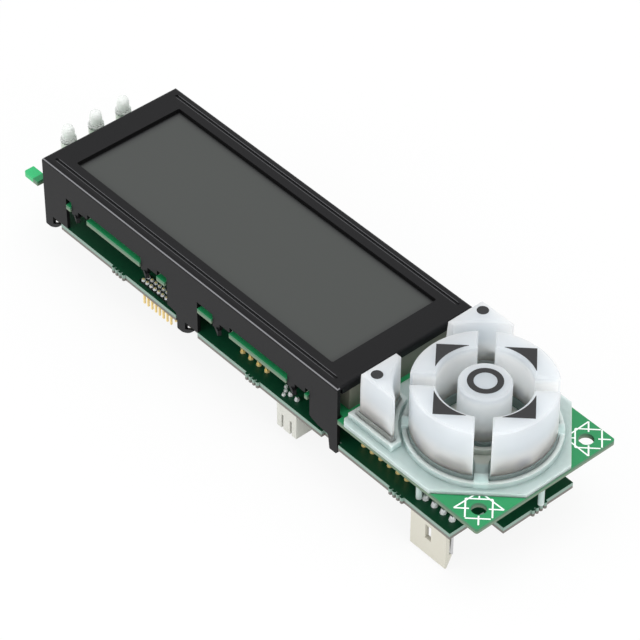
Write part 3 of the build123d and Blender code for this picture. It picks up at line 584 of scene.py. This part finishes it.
# Painted light: a warm tan ring painted round the centre key's groove, a painted glow
zone(mat_rubber, tone(206, 198, 178), 0.5, (axis_distance(tree, pad_x), moat_r, moat_half, 0.5))
dress(mat_rubber, "keypad_mat")
carbon = finish("carbon", tone(30, 30, 32), roughness=0.8)
dress(carbon, *[name for name in nodes if name.startswith("contact_pill_")])
print("keys dressed:", key_names, "keypad's middle at x", round(float(pad_x), 5))

# %% [markdown]
# ## Lamps, metal and moulded plastic
# The lamps are cloudy resin, the pins are gold or tin over metal, and the sockets are nylon. Each gets
# its own values of the same finish, since they differ only in colour, gloss and metal.

# %% Small parts' finishes
nylon = dict(drift=0.04, roughness=0.45, **scatter(0.1, 0.001, 0.001, 0.001))
small_finishes = [
    (finish("resin", tone(218, 224, 219), drift=0.02, roughness=0.25, bump=0.02,
            **scatter(1.0, 0.006, 0.006, 0.006)),
     "lamp_near", "lamp_middle", "lamp_far"),
    (finish("spacer_plastic", tone(222, 226, 218), roughness=0.5),
     "lamp_spacer_near", "lamp_spacer_middle", "lamp_spacer_far"),
    (finish("gold", tone(250, 220, 150), drift=0.1, roughness=0.3, Metallic=0.45),
     "stack_header_pins", "fine_header_pins", "service_header_pins"),
    (finish("tin", tone(205, 205, 206), drift=0.08, roughness=0.3, Metallic=1.0),
     "lamp_leads", "side_connector_pins", "lock_header_pins", "controller_leads"),
    (finish("solder", tone(246, 246, 248), drift=0.06, roughness=0.22, Metallic=0.35),
     "solder_joints", "fine_solder_joints"),
    (finish("black_plastic", tone(26, 26, 28), roughness=0.5),
     "stack_header_body", "fine_header_body", "service_header_body"),
    (finish("nylon_white", tone(208, 208, 200), **nylon), "side_connector_housing"),
    (finish("nylon_cream", tone(206, 203, 190), **nylon), "lock_header_housing"),
    (finish("chip_body", tone(34, 34, 36), drift=0.08, roughness=0.6),
     "controller_chip", "driver_chips", "memory_chips"),
    (finish("tan_body", tone(150, 122, 84), drift=0.08, roughness=0.4), "supply_capacitors"),
]
for material, *names in small_finishes:
    dress(material, *names)
print("small parts dressed:", sum(len(names) for _, *names in small_finishes))

# %% [markdown]
# ## Surfaces from two parameters
# Every new piece is a grid of points worked out in one go: rows follow one parameter, columns the
# other. The helper below only joins the grid's neighbours into faces.

# %% Grid to mesh
def grid_faces(rows, columns, loop=False):
    """Faces of a grid: each joins four neighbours, and a loop joins the last column to the first."""
    index = np.arange(rows * columns).reshape(rows, columns)
    if loop:
        index = np.hstack([index, index[:, :1]])
    corners = [index[:-1, :-1], index[:-1, 1:], index[1:, 1:], index[1:, :-1]]
    return np.stack(corners, axis=-1).reshape(-1, 4)


def skin(name, points, material, loop=False):
    """Mesh over a grid of points: rows, columns, then X, Y and Z."""
    mesh = bpy.data.meshes.new(name)
    mesh.from_pydata(points.reshape(-1, 3).tolist(), [], grid_faces(*points.shape[:2], loop).tolist())
    mesh.materials.append(material)
    mesh.shade_smooth()
    return add(name, mesh)


print("3 by 4 points give", len(grid_faces(3, 4)), "faces, or", len(grid_faces(3, 4, loop=True)), "in a loop")

# %% [markdown]
# ## Printed marks
# The keys carry plain black prints: an arrow on each direction key, a ring on the centre key and a
# dot on each corner key. Each is a thin layer of ink, so it is modelled as a thin plate just above the
# rubber, bounded by lines and arcs.

# %% Ink plates on the keys
ink = finish("ink", tone(36, 36, 38), drift=0.1, roughness=0.6, bump=0.05)
ink_lift = 0.02 * MM
ink_depth = 0.04 * MM
ink_columns = 5
arrow_apex = 14.05 * MM
arrow_inner = 10.45 * MM
half_spread = math.radians(25.5)
arrow_steps = 41
circle_steps = 96
ring_mark_inner, ring_mark_outer = 2.33 * MM, 3.64 * MM
dot_inner, dot_outer = 0.001 * MM, 1.25 * MM
dot_in, dot_out = 15.7 * MM, 14.2 * MM


def plate_of(name, points, material, depth=ink_depth):
    """Turn a flat grid into a plate: the same grid lowered by the depth closes it at both sides and below."""
    lower = points - [0, 0, depth]
    piece = skin(name, np.concatenate([lower[:, :1], points, lower[:, ::-1]], axis=1), material)
    piece.data.shade_flat()
    return piece


def polar_plate(name, middle, inner, outer, angles, top, material):
    """Ink between two radii that may change with the angle: a point is the middle plus radius times
    direction, and the direction is the angle's cosine and sine."""
    share = np.linspace(0, 1, ink_columns)[None, :, None]
    inner = np.broadcast_to(inner, angles.shape)[:, None, None]
    outer = np.broadcast_to(outer, angles.shape)[:, None, None]
    direction = np.stack([np.cos(angles), np.sin(angles), np.zeros_like(angles)], axis=-1)[:, None, :]
    flat = np.array(middle) + (inner + share * (outer - inner)) * direction
    flat[:, :, 2] = top + ink_lift
    return plate_of(name, flat, material)


turn = np.linspace(-half_spread, half_spread, arrow_steps)
reach = arrow_apex / (np.cos(turn) + np.abs(np.sin(turn)))
headings = (("right", 0), ("up", 90), ("left", 180), ("down", 270))
for name, heading in headings:
    angles = turn + math.radians(heading)
    arrow = polar_plate("arrow_" + name, (pad_x, 0, 0), arrow_inner, reach, angles, pad_top, ink)
    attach(arrow, name + "_key")
full_turn = np.linspace(0, 2 * np.pi, circle_steps + 1)
ring = polar_plate("ring_mark", (pad_x, 0, 0), ring_mark_inner, ring_mark_outer, full_turn, pad_top, ink)
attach(ring, "centre_key")
for name, side in (("near", -1), ("far", 1)):
    dot_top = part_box("key_corner_" + name)[1][2]
    dot_middle = (pad_x - dot_in, side * dot_out, 0)
    dot = polar_plate("dot_" + name, dot_middle, dot_inner, dot_outer, full_turn, dot_top, ink)
    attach(dot, f"corner_{name}_key")
print("ink stands", ink_lift, "m over the keys")

# %% [markdown]
# ## Rubber webs
# Between each key and the mat runs a thin sloping web that folds as the key is pressed. Its section is
# a short bulged line, carried along the foot of the key. It is attached to the module, not to the key.

# %% Web surfaces
# Painted shade: the ring and centre webs are the mat's rubber, given a darker teal for the grooves they lie
# in
shaded_web_rubber = finish("shaded_web_rubber", tone(136, 166, 164), drift=0.08, roughness=0.35, cloud_scale=150,
                    bump=0.03, **silicone)
web_low, corner_web_low = 1.3 * MM, 1.9 * MM
web_high = key_foot + 0.1 * MM
web_reach = 0.34 * MM
web_wall = 0.2 * MM
web_rows = 7
ring_inner = 9.85 * MM
ring_slot = 3.5 * MM
corner_gap = 18.0 * MM


def offset_outline(outline, distance):
    """Move each point of a closed outline along its outward normal: the tangent turned by a quarter."""
    tangent = np.roll(outline, -1, axis=0) - np.roll(outline, 1, axis=0)
    tangent /= np.linalg.norm(tangent, axis=1, keepdims=True)
    return outline + distance * np.stack([tangent[:, 1], -tangent[:, 0]], axis=1)


def web(name, outline, low=web_low, rubber=shaded_web_rubber):
    """Skirt round a key: its height climbs evenly to the key's foot, and it stands out by the reach times
    the cosine of a quarter turn's share, so it starts wide on the mat and ends at the key."""
    climb = np.linspace(0, 1, web_rows)
    out = web_reach * np.cos(climb * np.pi / 2)
    rise = low + (web_high - low) * climb
    rings = [offset_outline(outline, distance) for distance in out]
    rows = [np.column_stack([ring, np.full(len(ring), z)]) for ring, z in zip(rings, rise)]
    piece = skin(name, np.array(rows), rubber, loop=True)
    wall = piece.modifiers.new("wall", "SOLIDIFY")
    wall.thickness = web_wall
    wall.offset = 0.0
    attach(piece, "module")
    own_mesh(piece)


def evenly(plan, count=140):
    """Closed outline resampled at equal steps of its length."""
    gaps = np.linalg.norm(np.roll(plan, -1, axis=0) - plan, axis=1)
    steps = np.concatenate([[0], np.cumsum(gaps)])
    closed = np.vstack([plan, plan[:1]])
    even = np.linspace(0, steps[-1], count, endpoint=False)
    return np.column_stack([np.interp(even, steps, closed[:, 0]), np.interp(even, steps, closed[:, 1])])


def sector_outline(heading, inner, outer, slot, count=24):
    """Ring sector in plan: an arc out, a straight side, an arc back, a straight side. Each arc stops half
    the slot short of the diagonal: 45 degrees less the angle whose sine is half the slot over the radius."""
    half_out = math.radians(45) - math.asin(slot / 2 / outer)
    half_in = math.radians(45) - math.asin(slot / 2 / inner)
    far = np.linspace(-half_out, half_out, count)
    near = np.linspace(half_in, -half_in, count)
    radius = np.concatenate([np.full(count, outer), np.full(count, inner)])
    angle = np.concatenate([far, near]) + math.radians(heading)
    return evenly(np.stack([pad_x + radius * np.cos(angle), radius * np.sin(angle)], axis=1))


def corner_outline(side, gap, low, high, count=24):
    """Corner key in plan, turning left: three corners of its box, then an arc of radius gap round the pad."""
    y_out, y_in = (high[1], low[1]) if side > 0 else (low[1], high[1])
    start = math.acos((high[0] - pad_x) / gap)
    end = math.pi - math.asin(abs(y_in) / gap)
    arc = np.linspace(end, start, count)
    curve = np.stack([pad_x + gap * np.cos(arc), side * gap * np.sin(arc)], axis=1)
    plan = np.vstack([[(high[0], y_out), (low[0], y_out), (low[0], y_in)], curve])
    return evenly(plan if side > 0 else plan[::-1])


round_angles = np.linspace(0, 2 * np.pi, circle_steps, endpoint=False)
centre_radius = (centre_high[0] - centre_low[0]) / 2
centre_outline = centre_radius * np.column_stack([np.cos(round_angles), np.sin(round_angles)]) + [pad_x, 0]
web("web_centre", centre_outline)
ring_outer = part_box("key_right")[1][0] - pad_x
for name, heading in headings:
    web("web_" + name, sector_outline(heading, ring_inner, ring_outer, ring_slot))
for name, side in (("near", -1), ("far", 1)):
    corner_low, corner_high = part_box("key_corner_" + name)
    outline = corner_outline(side, corner_gap, corner_low, corner_high)
    web("web_corner_" + name, outline, low=corner_web_low, rubber=mat_rubber)
print("seven webs up to", web_high)

# %% [markdown]
# ## Hatch round the mounting holes
# White lines are printed on the board round each hole of the keypad end: a square, a roof of two
# slanted lines and short arms, all turned by an eighth of a turn. Each line is a thin ribbon between
# two points, and each lies a hair above the last, so that none flickers where two cross.

# %% Hatch ribbons
white_ink = finish("white_ink", tone(248, 255, 250), drift=0.02, roughness=0.5, bump=0.0)
board_low, board_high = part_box("upper_board")
hole_y = 14.55 * MM
hatch_width = 0.33 * MM
hatch_depth = 0.02 * MM
hatch_lift = 0.03 * MM
hatch_step = 0.003 * MM
hatch_shift = np.array([0.22, 0.42]) * MM
eighth = math.sqrt(0.5)
# Millimetres from the hole's middle, before the turn: the square's lines stop short at two corners
wing, peak, gap, tail, square = 4.85, 4.65, 1.9, 4.4, 2.65
short_lower, short_left, short_right = 2.35, 2.4, 2.35
hatch_lines = [
    ((-wing, 0), (0, peak)), ((0, peak), (wing, 0)), ((-wing, 0), (-gap, 0)), ((gap, 0), (wing, 0)),
    ((0, square), (0, peak)), ((0, -gap), (0, -tail)), ((-square, square), (square, square)),
    ((-square, -square), (short_lower, -square)), ((-square, -short_left), (-square, square)),
    ((square, -short_right), (square, square)),
]


def ribbon(name, start, end, width, top):
    """Flat strip from start to end: each point steps half the width to either side."""
    line = np.stack([start, end])
    direction = (end - start) / np.linalg.norm(end - start)
    aside = np.array([-direction[1], direction[0]]) * width / 2
    flat = np.stack([line - aside, line + aside], axis=1)
    flat = np.concatenate([flat, np.full(flat.shape[:2] + (1,), top)], axis=2)
    strip = plate_of(name, flat, white_ink, hatch_depth)
    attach(strip, "module")


for side, word in ((-1, "near"), (1, "far")):
    middle = np.array([0.0, side * hole_y]) + (hatch_shift if side > 0 else 0.0)
    right = np.array([eighth, -side * eighth])
    up = np.array([-eighth, -side * eighth])
    for number, (a, b) in enumerate(hatch_lines):
        start = middle + (right * a[0] + up * a[1]) * MM
        end = middle + (right * b[0] + up * b[1]) * MM
        top = board_high[2] + hatch_lift + hatch_step * number
        ribbon(f"hatch_{word}_{number}", start, end, hatch_width, top)
print("ribbons:", 2 * len(hatch_lines), "on a board from z", float(board_low[2]), "to", float(board_high[2]))
